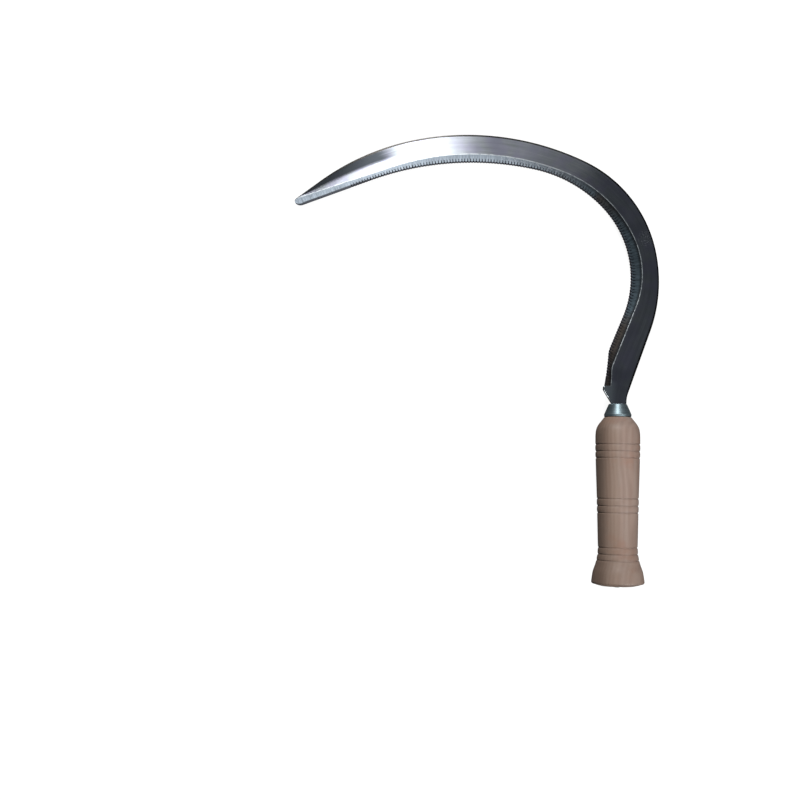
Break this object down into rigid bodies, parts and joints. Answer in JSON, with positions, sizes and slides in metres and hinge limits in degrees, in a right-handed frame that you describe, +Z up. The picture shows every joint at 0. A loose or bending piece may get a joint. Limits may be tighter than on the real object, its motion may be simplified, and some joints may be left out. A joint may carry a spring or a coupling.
{
  "type": "hand sickle",
  "caption": "Hand sickle with a long hooked steel blade, hollow-ground and finely serrated on its inner edge, a steel ferrule and a turned wooden handle with a flared butt.",
  "frame": {"origin": "on the surface that the sickle lies on, under the centre of its bounding box", "axes": "+Y runs along the handle from the butt towards the blade, +X points away from the hook's open side, +Z is up, out of the blade's ground face"},
  "size_m": [0.2814, 0.3462, 0.0444],
  "materials": {
    "blade_steel": "brushed along the blade, darkened by handling, with a brighter ground edge",
    "ferrule_steel": "bright drawn steel with light turning lines",
    "handle_wood": "bare turned hardwood, matte, slightly greyed",
    "washer_steel": "plain stamped steel, dulled"
  },
  "bodies": {
    "root": {"blade": "blade_steel", "ferrule": "ferrule_steel", "handle": "handle_wood", "tang_washer": "washer_steel"}
  },
  "joints": []
}
